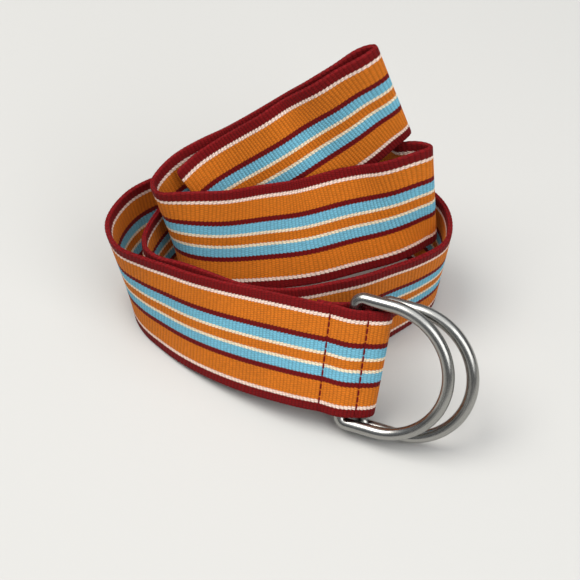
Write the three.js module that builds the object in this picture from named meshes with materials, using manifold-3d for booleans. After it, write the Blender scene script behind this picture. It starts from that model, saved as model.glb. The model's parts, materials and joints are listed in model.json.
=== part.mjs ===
// A D-ring ribbon belt, loosely coiled and standing on its edge.
// One long striped strap, folded and sewn at one end round two wire D-rings.
// Millimetres, +Z up. The origin is on the ground, under the middle of the coil.

import * as THREE from 'three';
import * as BufferGeometryUtils from 'three/addons/utils/BufferGeometryUtils.js';
import Module from 'manifold-3d';

const wasm = await Module();
wasm.setup();

// Strap: two layers of ribbon sewn back to back
const STRAP_WIDTH = 38;
const STRAP_THICK = 1.8;
const EDGE_CHAMFER = 0.35;
const STEP_LENGTH = 3.6;
const STEP_ANGLE = 12;

// D-rings: round wire bent to a D and closed at its straight bar
const WIRE = 4.2;
const RING_INSIDE = 40.4;
const RING_ARM = 12.3;
const RING_CORNER = 3;
const RING_SIDES = 12;
const CORNER_STEPS = 4;
const BOW_STEPS = 20;

// Buckle end: places are ahead of seam 1, out of the strap's face and across it, downwards;
// tilt: degrees by which a ring stands forward of the strap's plane.
// The end was sewn a little askew: lines across it fan out, further ahead at their top.
const BLOCK_WIDTH = STRAP_WIDTH - 0.2;
const STRAP_INTO_BLOCK = 1;
const FAN_PER_MM = 0.0025;
const FRONT_BAR = { ahead: 7.2, out: -2.2, across: 0, tilt: 9 };
const REAR_BAR = { ahead: 14.7, out: -5.6, across: 0.7, tilt: 8 };
const FRONT_CHANNEL = { halfLength: 3, halfDepth: 2.5 };
const REAR_CHANNEL_RADIUS = 2.5;
const CHANNEL_STEPS = 24;

// Outline of the folded and sewn end, round both channels, as (ahead, out) pairs.
const BLOCK_OUTLINE = [
  [-5, -2.7], [0, -2.7],
  [2.4, -4.3], [4.7, -5.9], [7.2, -6.5], [9.2, -6.1], [10.3, -5.2],
  [10.8, -4.7], [10.5, -5.4], [10.5, -6.4],
  [11.1, -8.1], [12.6, -9.4], [14.7, -9.9], [16.8, -9.3], [18.4, -7.8],
  [18.9, -5.7], [18.4, -3.7], [17.1, -2], [15.5, -0.9],
  [14, -0.1], [12.6, 0.5], [11, 1.1],
  [9.2, 1.8], [7.2, 2.1], [5, 1.9], [2.8, 1.3],
  [1, 1], [0, 0.5], [-5, -0.5],
];

// Colours of the main stripe and of the wire
const STRAP_COLOUR = 0xc76c24;
const WIRE_COLOUR = 0x8f8f8c;

// Route of the strap from seam 1 to the free tip.
// x, y: plan position of the lower edge; foot: its height above the ground;
// lean: degrees by which the strap leans over to the left of its way, minus to the right.
const ROUTE = [
  { at: 'seam 1', x: 9.2, y: -59.4, foot: 8.6, lean: -30 },
  { at: 'front run', x: 3.4, y: -57.9, foot: 8.5, lean: -30 },
  { at: 'front run', x: -3.4, y: -55.3, foot: 7.8, lean: -29 },
  { at: 'front run', x: -15, y: -49.2, foot: 5.2, lean: -26 },
  { at: 'front run', x: -27, y: -41.5, foot: 2.8, lean: -20 },
  { at: 'front run', x: -36, y: -34.5, foot: 1.2, lean: -15 },
  { at: 'front run', x: -44, y: -27, foot: 0.4, lean: -10 },
  { at: 'left bend 1', x: -51, y: -19, foot: 0.1, lean: -3 },
  { at: 'left bend 1', x: -54, y: -11, foot: 0.1, lean: 7 },
  { at: 'left bend 1', x: -54, y: -2, foot: 0.2, lean: 13 },
  { at: 'left bend 1', x: -50, y: 8, foot: 0.2, lean: 12 },
  { at: 'back run', x: -43, y: 15, foot: 0.1, lean: 9 },
  { at: 'back run', x: -33, y: 22, foot: 0, lean: 4 },
  { at: 'back run', x: -17, y: 28, foot: 0, lean: 1 },
  { at: 'back run', x: 3, y: 30, foot: 0, lean: 0 },
  { at: 'back run', x: 23, y: 28, foot: 0, lean: 0 },
  { at: 'back run', x: 36.5, y: 20.5, foot: 0, lean: 1 },
  { at: 'right bend 1', x: 44.8, y: 13.2, foot: 0.1, lean: 4 },
  { at: 'right bend 1', x: 49.8, y: 5.5, foot: 0.1, lean: 5 },
  { at: 'right bend 1', x: 51.2, y: -1.5, foot: 0.1, lean: 5 },
  { at: 'right bend 1', x: 49.2, y: -8.2, foot: 0.1, lean: 6 },
  { at: 'second run', x: 42.8, y: -14.7, foot: 0.1, lean: 4 },
  { at: 'second run', x: 34, y: -21.5, foot: 0, lean: 0 },
  { at: 'second run', x: 26, y: -28.5, foot: 0.1, lean: -5 },
  { at: 'second run', x: 17, y: -34.5, foot: 0.2, lean: -11 },
  { at: 'second run', x: 7, y: -40, foot: 0.2, lean: -17 },
  { at: 'second run', x: -4, y: -43.5, foot: 0.3, lean: -23 },
  { at: 'second run', x: -15, y: -43.5, foot: 0.3, lean: -26 },
  { at: 'second run', x: -26, y: -38, foot: 0.3, lean: -22 },
  { at: 'second run', x: -33.9, y: -31.4, foot: 0.2, lean: -17 },
  { at: 'left bend 2', x: -40.7, y: -25, foot: 0.2, lean: -11 },
  { at: 'left bend 2', x: -46, y: -19.3, foot: 0.1, lean: -4 },
  { at: 'left bend 2', x: -48.6, y: -13.5, foot: 0, lean: 0 },
  { at: 'left bend 2', x: -47.2, y: -7, foot: 0, lean: 2 },
  { at: 'third run', x: -44.4, y: -0.5, foot: 1, lean: 2 },
  { at: 'third run', x: -39.2, y: 6.5, foot: 2.2, lean: 2 },
  { at: 'third run', x: -31, y: 13, foot: 4, lean: 3 },
  { at: 'third run', x: -18, y: 18.5, foot: 7, lean: 3 },
  { at: 'third run', x: -3, y: 20.5, foot: 10.5, lean: 3 },
  { at: 'third run', x: 11, y: 21, foot: 14, lean: 3 },
  { at: 'third run', x: 22.5, y: 20, foot: 17, lean: 3 },
  { at: 'third run', x: 30.5, y: 17, foot: 19.1, lean: 3 },
  { at: 'third run', x: 36, y: 12.4, foot: 20.6, lean: 4 },
  { at: 'third run', x: 41, y: 8.4, foot: 22.2, lean: 5 },
  { at: 'third run', x: 46, y: 5.2, foot: 24.3, lean: 5 },
  { at: 'right bend 2', x: 49.3, y: 4, foot: 25.7, lean: 2 },
  { at: 'right bend 2', x: 50.4, y: 1.8, foot: 26.3, lean: -5 },
  { at: 'right bend 2', x: 49.4, y: -0.7, foot: 26.8, lean: -11 },
  { at: 'fourth run', x: 46.4, y: -3.4, foot: 27.4, lean: -16 },
  { at: 'fourth run', x: 42.2, y: -6.3, foot: 26.9, lean: -21 },
  { at: 'fourth run', x: 35, y: -9.2, foot: 25.3, lean: -26 },
  { at: 'fourth run', x: 25, y: -11.2, foot: 23.5, lean: -28 },
  { at: 'fourth run', x: 8, y: -14.4, foot: 20.5, lean: -28 },
  { at: 'fourth run', x: -8, y: -16, foot: 20, lean: -25 },
  { at: 'fourth run', x: -23, y: -16.8, foot: 20.8, lean: -18 },
  { at: 'fourth run', x: -31, y: -15.6, foot: 21, lean: -14 },
  { at: 'left bend 3', x: -35.5, y: -12, foot: 20.3, lean: -4 },
  { at: 'left bend 3', x: -37, y: -6.5, foot: 19.8, lean: 10 },
  { at: 'left bend 3', x: -35.5, y: -0.5, foot: 20.2, lean: 12 },
  { at: 'fifth run', x: -30, y: 2.4, foot: 22, lean: 9 },
  { at: 'fifth run', x: -23, y: 3.2, foot: 24.8, lean: 12 },
  { at: 'fifth run', x: -14, y: 3.2, foot: 29, lean: 17 },
  { at: 'fifth run', x: -4, y: 3.4, foot: 34, lean: 21 },
  { at: 'fifth run', x: 6, y: 4.4, foot: 40.4, lean: 24 },
  { at: 'fifth run', x: 16, y: 6.7, foot: 46.9, lean: 25 },
  { at: 'fifth run', x: 25, y: 9.3, foot: 53.3, lean: 24 },
  { at: 'fifth run', x: 31, y: 11.6, foot: 58.4, lean: 22.5 },
  { at: 'fifth run', x: 35.2, y: 14.1, foot: 61.2, lean: 19.5 },
  { at: 'right bend 3', x: 38.4, y: 15.9, foot: 62.9, lean: 9 },
  { at: 'right bend 3', x: 39.9, y: 15.5, foot: 63.5, lean: -13 },
  { at: 'right bend 3', x: 39.4, y: 13.9, foot: 63.4, lean: -22 },
  { at: 'last run', x: 36, y: 11.8, foot: 61.5, lean: -19.5 },
  { at: 'last run', x: 31, y: 8.8, foot: 58.2, lean: -21.5 },
  { at: 'last run', x: 26, y: 6.9, foot: 54.3, lean: -22 },
  { at: 'last run', x: 20, y: 5.4, foot: 49.7, lean: -24 },
  { at: 'last run', x: 12, y: 3, foot: 44.5, lean: -24 },
  { at: 'last run', x: 4, y: 1.2, foot: 39, lean: -24 },
  { at: 'last run', x: -5, y: 0.1, foot: 33.1, lean: -22 },
  { at: 'last run', x: -12, y: -0.8, foot: 29, lean: -19 },
  { at: 'last run', x: -16, y: -1.4, foot: 26.7, lean: -15 },
  { at: 'free tip', x: -19, y: -1.9, foot: 25, lean: -11 },
];

// Upward direction across the strap, square to its way and leaning over by the given angle.
function widthDirection(along, lean) {
  const up = new THREE.Vector3(0, 0, 1);
  const left = new THREE.Vector3().crossVectors(up, along).normalize();
  const upright = new THREE.Vector3().crossVectors(along, left);
  const angle = THREE.MathUtils.degToRad(lean);
  return upright.multiplyScalar(Math.cos(angle)).addScaledVector(left, Math.sin(angle));
}

// Two smooth guide curves, one through the lower edge and one through the upper edge.
function edgeGuides(route) {
  const points = route.map((row) => new THREE.Vector3(row.x, row.y, row.foot));
  const lower = new THREE.CatmullRomCurve3(points, false, 'centripetal');
  const last = route.length - 1;
  const upperPoints = route.map((row, i) => {
    const width = widthDirection(lower.getTangent(i / last), row.lean);
    return points[i].clone().addScaledVector(width, STRAP_WIDTH);
  });
  return { lower, upper: new THREE.CatmullRomCurve3(upperPoints, false, 'centripetal') };
}

// Centre, direction, width and face directions of the strap at a place u (0 to 1) on its route.
function stationAt(guides, u) {
  const lower = guides.lower.getPoint(u);
  const upper = guides.upper.getPoint(u);
  const centre = lower.clone().add(upper).multiplyScalar(0.5);
  const along = guides.lower.getTangent(u).add(guides.upper.getTangent(u)).normalize();
  const width = upper.sub(lower);
  width.addScaledVector(along, -width.dot(along)).normalize();
  const face = new THREE.Vector3().crossVectors(width, along);
  return { centre, along, width, face };
}

// Stations along the whole route: close together in the bends and further apart on the runs.
function strapStations(route) {
  const guides = edgeGuides(route);
  const samples = 60 * (route.length - 1);
  const stations = [stationAt(guides, 0)];
  let last = stations[0];
  for (let i = 1; i <= samples; i += 1) {
    const here = stationAt(guides, i / samples);
    const step = here.centre.distanceTo(last.centre);
    const turn = Math.max(here.along.angleTo(last.along), here.width.angleTo(last.width));
    if (i === samples || step >= STEP_LENGTH || turn >= THREE.MathUtils.degToRad(STEP_ANGLE)) {
      stations.push(here);
      last = here;
    }
  }
  return stations;
}

// Outline of the strap's section as (across, through) pairs.
function strapSection() {
  const a = STRAP_WIDTH / 2;
  const b = STRAP_THICK / 2;
  const c = EDGE_CHAMFER;
  return [
    [a, b - c], [a, c - b], [a - c, -b], [c - a, -b],
    [-a, c - b], [-a, b - c], [c - a, b], [a - c, b],
  ];
}

// A closed surface through a row of sections that all have the same number of corners.
function loft(sections, isLoop) {
  const corners = sections[0].length;
  const positions = sections.flat().flatMap((p) => [p.x, p.y, p.z]);
  const index = [];
  const spans = isLoop ? sections.length : sections.length - 1;
  for (let i = 0; i < spans; i += 1) {
    const here = i * corners;
    const next = ((i + 1) % sections.length) * corners;
    for (let j = 0; j < corners; j += 1) {
      const k = (j + 1) % corners;
      index.push(here + j, here + k, next + k, here + j, next + k, next + j);
    }
  }
  if (!isLoop) {
    const end = (sections.length - 1) * corners;
    for (let j = 1; j < corners - 1; j += 1) {
      index.push(0, j + 1, j, end, end + j, end + j + 1);
    }
  }
  const geometry = new THREE.BufferGeometry();
  geometry.setAttribute('position', new THREE.Float32BufferAttribute(positions, 3));
  geometry.setIndex(index);
  return geometry;
}

// Buckle end as a solid block in its own axes: x ahead, y out of the face, z across the strap, downwards.
function blockSolid() {
  const shape = new THREE.Shape(BLOCK_OUTLINE.map(([ahead, out]) => new THREE.Vector2(ahead, out)));
  return extrudeAcross(shape, BLOCK_WIDTH);
}

// An oval bar channel in the block's axes, cut right through the width.
function channelSolid(bar, halfLength, halfDepth) {
  const shape = new THREE.Shape();
  shape.absellipse(bar.ahead, bar.out, halfLength, halfDepth, 0, 2 * Math.PI);
  return extrudeAcross(shape, 2 * STRAP_WIDTH);
}

function extrudeAcross(shape, width) {
  const options = { depth: width, bevelEnabled: false, curveSegments: CHANNEL_STEPS };
  const geometry = new THREE.ExtrudeGeometry(shape, options);
  geometry.translate(0, 0, -width / 2);
  return fanned(geometry);
}

// The same shape with its lines across the strap fanned out.
function fanned(geometry) {
  const place = geometry.attributes.position;
  for (let i = 0; i < place.count; i += 1) {
    place.setX(i, place.getX(i) * (1 - FAN_PER_MM * place.getZ(i)));
  }
  return geometry;
}

// Wire ring in the block's axes, with its bar's middle at the origin and its bow ahead.
function ringGeometry() {
  const half = (RING_INSIDE + WIRE) / 2;
  const path = [];
  const addArc = (centreAhead, centreAcross, radius, from, to, steps) => {
    for (let i = 0; i <= steps; i += 1) {
      const angle = THREE.MathUtils.degToRad(from + ((to - from) * i) / steps);
      const ahead = centreAhead + radius * Math.cos(angle);
      path.push([ahead, centreAcross + radius * Math.sin(angle), angle]);
    }
  };
  addArc(RING_CORNER, RING_CORNER - half, RING_CORNER, 180, 270, CORNER_STEPS);
  addArc(RING_ARM, 0, half, -90, 90, BOW_STEPS);
  addArc(RING_CORNER, half - RING_CORNER, RING_CORNER, 90, 180, CORNER_STEPS);
  const sections = path.map(([ahead, across, angle]) => {
    const section = [];
    for (let i = 0; i < RING_SIDES; i += 1) {
      const turn = (2 * Math.PI * i) / RING_SIDES;
      const away = (WIRE / 2) * Math.cos(turn);
      const up = (WIRE / 2) * Math.sin(turn);
      section.push(new THREE.Vector3(ahead + away * Math.cos(angle), up, across + away * Math.sin(angle)));
    }
    return section;
  });
  return loft(sections, true);
}

// Sections of the strap at every station, the first one a little way inside the block.
function strapSections(stations) {
  const first = { ...stations[0] };
  first.centre = first.centre.clone().addScaledVector(first.along, -STRAP_INTO_BLOCK);
  const outline = strapSection();
  return [first, ...stations].map(({ centre, width, face }) => outline.map(([across, through]) => (
    centre.clone().addScaledVector(width, across).addScaledVector(face, through)
  )));
}

function toManifold(geometry) {
  const bare = geometry.clone();
  bare.deleteAttribute('normal');
  bare.deleteAttribute('uv');
  const merged = BufferGeometryUtils.mergeVertices(bare, 1e-4);
  const mesh = new wasm.Mesh({
    numProp: 3,
    vertProperties: new Float32Array(merged.attributes.position.array),
    triVerts: new Uint32Array(merged.index.array),
  });
  return new wasm.Manifold(mesh);
}

function fromManifold(solid) {
  const mesh = solid.getMesh();
  const geometry = new THREE.BufferGeometry();
  geometry.setAttribute('position', new THREE.Float32BufferAttribute(mesh.vertProperties, 3));
  geometry.setIndex(Array.from(mesh.triVerts));
  return geometry;
}

function buildBelt() {
  const stations = strapStations(ROUTE);
  const seam = stations[0];
  const ahead = seam.along.clone().negate();
  const toPlace = new THREE.Matrix4().makeBasis(ahead, seam.face, seam.width.clone().negate());
  toPlace.setPosition(seam.centre);

  const block = toManifold(blockSolid())
    .subtract(toManifold(channelSolid(FRONT_BAR, FRONT_CHANNEL.halfLength, FRONT_CHANNEL.halfDepth)))
    .subtract(toManifold(channelSolid(REAR_BAR, REAR_CHANNEL_RADIUS, REAR_CHANNEL_RADIUS)));
  const blockInPlace = toManifold(fromManifold(block).applyMatrix4(toPlace));
  const strap = toManifold(loft(strapSections(stations), false)).add(blockInPlace);

  const ring = (bar) => {
    const geometry = ringGeometry();
    geometry.rotateZ(THREE.MathUtils.degToRad(bar.tilt));
    geometry.rotateY(-Math.atan(FAN_PER_MM * bar.ahead));
    geometry.translate(bar.ahead, bar.out, bar.across);
    return geometry.applyMatrix4(toPlace);
  };
  const bodies = [
    { name: 'strap', geometry: fromManifold(strap), colour: STRAP_COLOUR, metalness: 0, roughness: 0.9 },
    { name: 'front_ring', geometry: ring(FRONT_BAR), colour: WIRE_COLOUR, metalness: 1, roughness: 0.35 },
    { name: 'rear_ring', geometry: ring(REAR_BAR), colour: WIRE_COLOUR, metalness: 1, roughness: 0.35 },
  ];

  // Centre the belt on its footprint and stand it on the ground.
  const box = new THREE.Box3();
  for (const body of bodies) {
    body.geometry.computeBoundingBox();
    box.union(body.geometry.boundingBox);
  }
  const middle = box.getCenter(new THREE.Vector3());
  const group = new THREE.Group();
  group.name = 'ribbon_belt';
  for (const { name, geometry, colour, metalness, roughness } of bodies) {
    geometry.translate(-middle.x, -middle.y, -box.min.z);
    geometry.computeVertexNormals();
    const material = new THREE.MeshStandardMaterial({ color: colour, metalness, roughness });
    material.name = name;
    const mesh = new THREE.Mesh(geometry, material);
    mesh.name = name;
    group.add(mesh);
  }
  return group;
}

export default buildBelt();
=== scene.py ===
# %% [markdown]
# # A striped ribbon belt with two D-rings
# The belt is one long strap, 38 mm wide, coiled loosely and standing on its edge.
# Its front end is folded back and sewn round the straight bars of two steel rings.
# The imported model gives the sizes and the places. This lesson gives the belt its looks:
# two layers of ribbed ribbon with woven stripes, the seams and their stitches, and the brushed wire.

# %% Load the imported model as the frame
import json
import math
import bpy
import numpy as np
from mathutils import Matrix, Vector


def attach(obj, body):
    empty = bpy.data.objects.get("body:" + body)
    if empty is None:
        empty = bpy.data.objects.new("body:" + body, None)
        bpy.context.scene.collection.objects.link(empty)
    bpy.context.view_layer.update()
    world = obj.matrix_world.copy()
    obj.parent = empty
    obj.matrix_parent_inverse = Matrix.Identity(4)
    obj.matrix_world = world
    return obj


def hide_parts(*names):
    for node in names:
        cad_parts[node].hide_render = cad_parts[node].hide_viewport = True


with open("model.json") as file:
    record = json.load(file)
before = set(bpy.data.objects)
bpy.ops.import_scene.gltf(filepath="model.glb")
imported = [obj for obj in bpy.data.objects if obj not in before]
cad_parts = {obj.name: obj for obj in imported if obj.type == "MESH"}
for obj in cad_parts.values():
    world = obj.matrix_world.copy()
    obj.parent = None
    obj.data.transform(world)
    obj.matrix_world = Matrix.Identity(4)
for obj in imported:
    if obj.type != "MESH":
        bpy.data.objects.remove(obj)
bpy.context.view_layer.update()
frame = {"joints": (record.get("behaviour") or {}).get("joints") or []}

MM = 0.001

# %% [markdown]
# ## The camera first
# The belt was photographed from about 50 degrees above the floor with a long lens.
# A camera that looks at a named point needs no hand-set angles: the direction from the
# camera to the point is turned into a rotation, with the camera's own -Z axis along it.

# %% Camera at the photograph's angle
CAMERA_ELEVATION = math.radians(50)
CAMERA_DISTANCE = 600 * MM
CAMERA_LENS = 104.2
CAMERA_TARGET = Vector((1.10 * MM, 19.98 * MM, 0.05 * MM))

camera_data = bpy.data.cameras.new("camera")
camera_data.lens = CAMERA_LENS
camera = bpy.data.objects.new("camera", camera_data)
towards = Vector((0, math.cos(CAMERA_ELEVATION), -math.sin(CAMERA_ELEVATION)))
camera.location = CAMERA_TARGET - towards * CAMERA_DISTANCE
camera.rotation_mode = "QUATERNION"
camera.rotation_quaternion = towards.to_track_quat("-Z", "Y")
bpy.context.scene.collection.objects.link(camera)
bpy.context.scene.camera = camera
bpy.context.scene.view_settings.view_transform = "Standard"
print("camera at", tuple(round(x, 3) for x in camera.location))

# %% [markdown]
# ## Floor, world and light
# A plain pale floor and soft light keep the eye on the belt. The world is pale overhead and at
# the horizon, with a dark band between, as a room has: the wire needs something dark to reflect,
# or it looks like white plastic. A colour ramp over the height of each direction gives that.
# Large area lights give soft shadows, and on the round wire they make the long highlights that
# steel shows. A broad, weak sun from above lights the floor evenly out to its far end, which the
# area lights don't reach.

# %% Pale floor
FLOOR_SIZE = 8.0
FLOOR_COLOUR = (0.51, 0.505, 0.485, 1)
FLOOR_ROUGHNESS = 0.9

bpy.ops.mesh.primitive_plane_add(size=FLOOR_SIZE)
floor = bpy.context.object
floor.name = "floor"
floor_paint = bpy.data.materials.new("pale_floor")
floor_paint.use_nodes = True
floor_shader = floor_paint.node_tree.nodes["Principled BSDF"]
floor_shader.inputs["Base Color"].default_value = FLOOR_COLOUR
floor_shader.inputs["Roughness"].default_value = FLOOR_ROUGHNESS
floor.data.materials.append(floor_paint)
print("floor:", FLOOR_SIZE, "m square")

# %% World, pale and dark by height
SKY = [
    # height of the direction, 0 at the horizon and 1 overhead, and the colour there
    (0.0, (1.06, 1.06, 1.04, 1)),
    (0.16, (0.13, 0.13, 0.14, 1)),
    (0.6, (0.55, 0.58, 0.62, 1)),
    (1.0, (0.95, 1.0, 1.06, 1)),
]
WORLD_STRENGTH = 0.6

world = bpy.data.worlds.new("studio")
world.use_nodes = True
sky_nodes = world.node_tree.nodes
sky_links = world.node_tree.links
direction = sky_nodes.new("ShaderNodeTexCoord")
direction_parts = sky_nodes.new("ShaderNodeSeparateXYZ")
ramp = sky_nodes.new("ShaderNodeValToRGB")
stops = ramp.color_ramp.elements
for number, (place, colour) in enumerate(SKY):
    # a new ramp comes with two stops, and the others are added
    stop = stops[number] if number < len(stops) else stops.new(place)
    stop.position = place
    stop.color = colour
sky_links.new(direction.outputs["Generated"], direction_parts.inputs[0])
sky_links.new(direction_parts.outputs["Z"], ramp.inputs["Fac"])
sky_links.new(ramp.outputs["Color"], sky_nodes["Background"].inputs["Color"])
sky_nodes["Background"].inputs["Strength"].default_value = WORLD_STRENGTH
bpy.context.scene.world = world
print("world:", len(stops), "stops from the horizon to overhead")

# %% Soft lights
LIGHTS = [
    # name, place, the point it is turned to, side of the square in metres, watts, colour
    ("window", (-0.32, 0.05, 0.8), (0, 0.01, 0.03), 0.5, 5.4, (1.0, 0.97, 0.93)),
    ("fill", (0.5, -0.5, 0.65), (0, 0, 0.03), 0.7, 4.6, (1.0, 1.0, 1.0)),
]
CEILING_SPREAD = math.radians(70)
CEILING_STRENGTH = 1.1


def area_light(name, place, target, size, power, colour):
    """A square soft light at a place, turned to a target."""
    data = bpy.data.lights.new(name, "AREA")
    data.size = size
    data.energy = power
    data.color = colour
    light = bpy.data.objects.new(name, data)
    light.location = place
    light.rotation_mode = "QUATERNION"
    light.rotation_quaternion = (Vector(target) - Vector(place)).to_track_quat("-Z", "Y")
    bpy.context.scene.collection.objects.link(light)


for row in LIGHTS:
    area_light(*row)
ceiling_light = bpy.data.lights.new("ceiling", "SUN")
ceiling_light.angle = CEILING_SPREAD
ceiling_light.energy = CEILING_STRENGTH
ceiling = bpy.data.objects.new("ceiling", ceiling_light)
bpy.context.scene.collection.objects.link(ceiling)
print("lights:", [name for name, *_ in LIGHTS] + [ceiling.name])

# %% [markdown]
# ## The way of the strap
# A belt that is rolled up loosely wanders: it bulges, leans and rises. No formula gives that,
# so the way is a table, read off the coil row by row. Each row gives a place on the strap's
# lower edge, its height above the floor, and how far the strap leans over there.
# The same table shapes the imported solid, so the ribbon lies where the solid is.

# %% Route of the strap: x, y and foot in millimetres, lean in degrees
STRAP_WIDTH = 38 * MM
ROUTE = [
    # seam 1
    (9.2, -59.4, 8.6, -30),
    # front run
    (3.4, -57.9, 8.5, -30), (-3.4, -55.3, 7.8, -29), (-15, -49.2, 5.2, -26), (-27, -41.5, 2.8, -20),
    (-36, -34.5, 1.2, -15), (-44, -27, 0.4, -10),
    # left bend 1
    (-51, -19, 0.1, -3), (-54, -11, 0.1, 7), (-54, -2, 0.2, 13), (-50, 8, 0.2, 12),
    # back run
    (-43, 15, 0.1, 9), (-33, 22, 0, 4), (-17, 28, 0, 1), (3, 30, 0, 0), (23, 28, 0, 0),
    (36.5, 20.5, 0, 1),
    # right bend 1
    (44.8, 13.2, 0.1, 4), (49.8, 5.5, 0.1, 5), (51.2, -1.5, 0.1, 5), (49.2, -8.2, 0.1, 6),
    # second run
    (42.8, -14.7, 0.1, 4), (34, -21.5, 0, 0), (26, -28.5, 0.1, -5), (17, -34.5, 0.2, -11),
    (7, -40, 0.2, -17), (-4, -43.5, 0.3, -23), (-15, -43.5, 0.3, -26), (-26, -38, 0.3, -22),
    (-33.9, -31.4, 0.2, -17),
    # left bend 2
    (-40.7, -25, 0.2, -11), (-46, -19.3, 0.1, -4), (-48.6, -13.5, 0, 0), (-47.2, -7, 0, 2),
    # third run
    (-44.4, -0.5, 1, 2), (-39.2, 6.5, 2.2, 2), (-31, 13, 4, 3), (-18, 18.5, 7, 3),
    (-3, 20.5, 10.5, 3), (11, 21, 14, 3), (22.5, 20, 17, 3), (30.5, 17, 19.1, 3),
    (36, 12.4, 20.6, 4), (41, 8.4, 22.2, 5), (46, 5.2, 24.3, 5),
    # right bend 2
    (49.3, 4, 25.7, 2), (50.4, 1.8, 26.3, -5), (49.4, -0.7, 26.8, -11),
    # fourth run
    (46.4, -3.4, 27.4, -16), (42.2, -6.3, 26.9, -21), (35, -9.2, 25.3, -26), (25, -11.2, 23.5, -28),
    (8, -14.4, 20.5, -28), (-8, -16, 20, -25), (-23, -16.8, 20.8, -18), (-31, -15.6, 21, -14),
    # left bend 3
    (-35.5, -12, 20.3, -4), (-37, -6.5, 19.8, 10), (-35.5, -0.5, 20.2, 12),
    # fifth run
    (-30, 2.4, 22, 9), (-23, 3.2, 24.8, 12), (-14, 3.2, 29, 17), (-4, 3.4, 34, 21),
    (6, 4.4, 40.4, 24), (16, 6.7, 46.9, 25), (25, 9.3, 53.3, 24), (31, 11.6, 58.4, 22.5),
    (35.2, 14.1, 61.2, 19.5),
    # right bend 3
    (38.4, 15.9, 62.9, 9), (39.9, 15.5, 63.5, -13), (39.4, 13.9, 63.4, -22),
    # last run
    (36, 11.8, 61.5, -19.5), (31, 8.8, 58.2, -21.5), (26, 6.9, 54.3, -22), (20, 5.4, 49.7, -24),
    (12, 3, 44.5, -24), (4, 1.2, 39, -24), (-5, 0.1, 33.1, -22), (-12, -0.8, 29, -19),
    (-16, -1.4, 26.7, -15),
    # free tip
    (-19, -1.9, 25, -11),
]
print(len(ROUTE), "rows in the route")

# %% [markdown]
# ## A smooth curve through the rows
# A Catmull-Rom curve passes through every row, so what the table says is what shows.
# The centripetal kind, with its knots spaced by the square root of the distance,
# doesn't loop or overshoot where a short step follows a long one, as in the tight bends.


# %% Curve through points
def unit(vectors):
    """Vectors scaled to length 1, row by row."""
    return vectors / np.linalg.norm(vectors, axis=-1, keepdims=True)


def knot_step(start, end):
    """Square root of the distance between two rows of points."""
    return ((end - start) ** 2).sum(1)[:, None] ** 0.25


def curve_through(points, u):
    """Places on a centripetal Catmull-Rom curve through the points, for u from 0 to 1."""
    ends = np.vstack([2 * points[0] - points[1], points, 2 * points[-1] - points[-2]])
    place = np.clip(u, 0, 1) * (len(points) - 1)
    first = np.minimum(place.astype(int), len(points) - 2)
    w = (place - first)[:, None]
    p0, p1, p2, p3 = (ends[first + k] for k in range(4))
    d0, d1, d2 = knot_step(p0, p1), knot_step(p1, p2), knot_step(p2, p3)
    t1 = ((p1 - p0) / d0 - (p2 - p0) / (d0 + d1) + (p2 - p1) / d1) * d1
    t2 = ((p2 - p1) / d1 - (p3 - p1) / (d1 + d2) + (p3 - p2) / d2) * d1
    return p1 + w * t1 + w**2 * (3 * (p2 - p1) - 2 * t1 - t2) + w**3 * (2 * (p1 - p2) + t1 + t2)


print("curve helpers made")

# %% Both edges of the strap
EDGE_SAMPLES = 4000


def width_directions(along, lean):
    """Upward directions across the strap, square to its way and leaning over to the left."""
    left = unit(np.cross([0, 0, 1], along))
    upright = np.cross(along, left)
    return upright * np.cos(lean)[:, None] + left * np.sin(lean)[:, None]


def strap_edges(samples):
    """The strap's lower and upper edges, from seam 1 to the free tip."""
    rows = np.array(ROUTE, float)
    low_points = rows[:, :3] * MM
    u_rows = np.linspace(0, 1, len(rows))
    nearby = 0.0001
    along = unit(curve_through(low_points, u_rows + nearby) - curve_through(low_points, u_rows - nearby))
    high_points = low_points + width_directions(along, np.radians(rows[:, 3])) * STRAP_WIDTH
    u = np.linspace(0, 1, samples)
    return curve_through(low_points, u), curve_through(high_points, u)


low_edge, high_edge = strap_edges(EDGE_SAMPLES)
print("edges sampled:", len(low_edge))

# %% [markdown]
# ## Where the route lies in the frame
# The route was measured with an origin of its own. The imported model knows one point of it:
# the hinge of the front ring is the middle of that ring's bar, 7.2 mm ahead of seam 1 and
# 2.2 mm behind the middle of the strap's thickness. Setting the two equal moves the whole
# route into the frame. The end was sewn a little askew: lines across it fan out, so they lie
# further ahead at the top.

# %% Seam 1 and its own axes
# Place of each bar ahead of seam 1, out of the strap's face and down across the strap,
# and the tilt of its ring forward of the strap's plane
FRONT_BAR = {"ahead": 7.2 * MM, "out": -2.2 * MM, "down": 0.0, "tilt": math.radians(9)}
REAR_BAR = {"ahead": 14.7 * MM, "out": -5.6 * MM, "down": 0.7 * MM, "tilt": math.radians(8)}
# Share by which a place lies further ahead, for each metre up from the strap's middle
FAN = 0.0025 / MM

seam_along = unit(unit(low_edge[1] - low_edge[0]) + unit(high_edge[1] - high_edge[0]))
seam_across = high_edge[0] - low_edge[0]
seam_across = unit(seam_across - seam_along * (seam_across @ seam_along))
seam_ahead = -seam_along
seam_out = np.cross(seam_across, seam_along)

hinge = next(j for j in frame["joints"] if j["name"] == "front_ring_swing")
seam_on_route = (low_edge[0] + high_edge[0]) / 2
bar_on_route = seam_on_route + seam_ahead * FRONT_BAR["ahead"] + seam_out * FRONT_BAR["out"]
shift = np.array(hinge["pos_m"]) - bar_on_route
low_edge += shift
high_edge += shift
seam_centre = (low_edge[0] + high_edge[0]) / 2


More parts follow.
